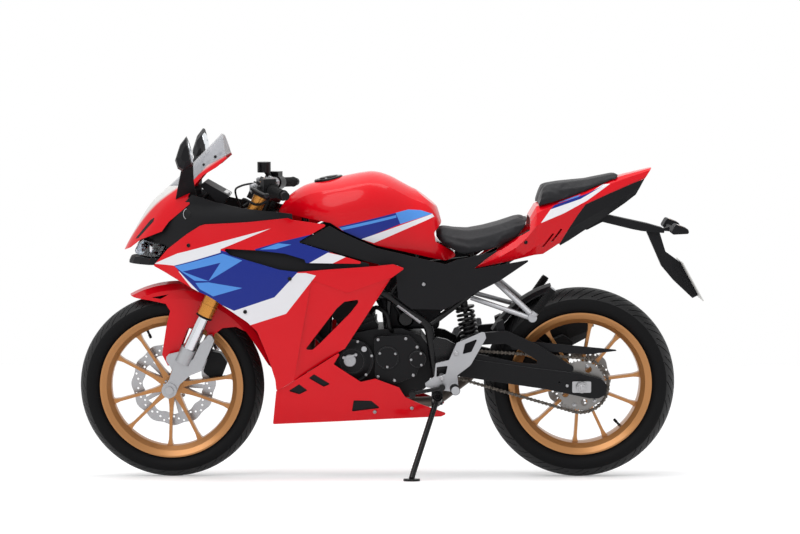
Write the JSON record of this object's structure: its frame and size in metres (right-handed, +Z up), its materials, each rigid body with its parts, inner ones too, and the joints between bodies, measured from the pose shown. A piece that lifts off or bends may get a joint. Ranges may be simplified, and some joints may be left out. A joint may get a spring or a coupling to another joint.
{
  "type": "sport motorcycle",
  "caption": "Fully faired light sport motorcycle leaning on its side stand, with turning wheels, steering and a stand that folds.",
  "frame": {"origin": "on the floor under the middle of the bounding box of the parked motorcycle", "axes": "+X from the front wheel to the tail, +Z up, +Y to the rider's right; the motorcycle leans 8 degrees towards -Y onto its side stand"},
  "size_m": [1.995, 0.741, 1.1442],
  "materials": {
    "red_plastic": "gloss",
    "black_plastic": "satin",
    "black_metal": "satin",
    "black_cast": "matt",
    "silver_cast": "satin",
    "gold_cast": "satin",
    "gold_tube": "polished",
    "bright_tube": "polished",
    "steel": "brushed",
    "tyre": "matt",
    "rubber": "matt",
    "seat_vinyl": "grained",
    "smoke_screen": "clear",
    "lamp_lens": "clear",
    "red_lens": "clear",
    "blank_plate": "gloss"
  },
  "bodies": {
    "frame": {"drive_chain": "steel", "engine": "black_cast", "exhaust": "steel", "foot_levers": "black_metal", "footrest_hangers": "silver_cast", "front_cowl": "red_plastic", "front_inner_panels": "black_plastic", "fuel_tank": "red_plastic", "headlights": "lamp_lens", "instrument_panel": "black_plastic", "lower_cowls": "red_plastic", "main_frame": "black_metal", "mirrors": "black_plastic", "number_plate": "blank_plate", "passenger_footrests": "silver_cast", "passenger_seat": "seat_vinyl", "plate_carrier": "black_plastic", "radiator": "black_cast", "rear_axle": "steel", "rear_caliper": "black_cast", "rear_mudguards": "black_plastic", "rider_seat": "seat_vinyl", "shock_absorber": "black_metal", "side_covers": "black_plastic", "side_cowls": "red_plastic", "swingarm": "black_cast", "tail_cowl": "red_plastic", "tail_lamp": "red_lens", "tail_undertray": "black_plastic", "windscreen": "smoke_screen"},
    "steering": {"fork_outer_tubes": "gold_tube", "fork_inner_tubes": "bright_tube", "fork_feet": "silver_cast", "front_axle": "steel", "yokes": "black_cast", "handlebars": "black_cast", "hand_grips": "rubber", "hand_controls": "black_plastic", "front_fender": "red_plastic", "front_caliper": "black_cast"},
    "front_wheel": {"front_tyre": "tyre", "front_rim": "gold_cast", "front_brake_disc": "steel"},
    "rear_wheel": {"rear_tyre": "tyre", "rear_rim": "gold_cast", "rear_brake_disc": "steel", "rear_sprocket": "steel"},
    "stand": {"side_stand": "black_metal"}
  },
  "joints": [
    {"name": "steering_head", "type": "hinge", "parent": "frame", "child": "steering", "pos_m": [-0.46056, 0.03057, 0.70665], "axis": [0.4305, -0.1256, 0.8938], "range_deg": [-32, 32]},
    {"name": "front_wheel_spin", "type": "hinge", "parent": "steering", "child": "front_wheel", "pos_m": [-0.7015, 0.08859, 0.29383], "axis": [0, 0.9903, 0.1392], "continuous": true},
    {"name": "rear_wheel_spin", "type": "hinge", "parent": "frame", "child": "rear_wheel", "pos_m": [0.6095, 0.08705, 0.30472], "axis": [0, 0.9903, 0.1392], "continuous": true},
    {"name": "stand_pivot", "type": "hinge", "parent": "frame", "child": "stand", "pos_m": [0.1505, -0.04119, 0.25438], "axis": [0.0535, -0.8923, 0.4482], "range_deg": [0, 97.2]}
  ]
}
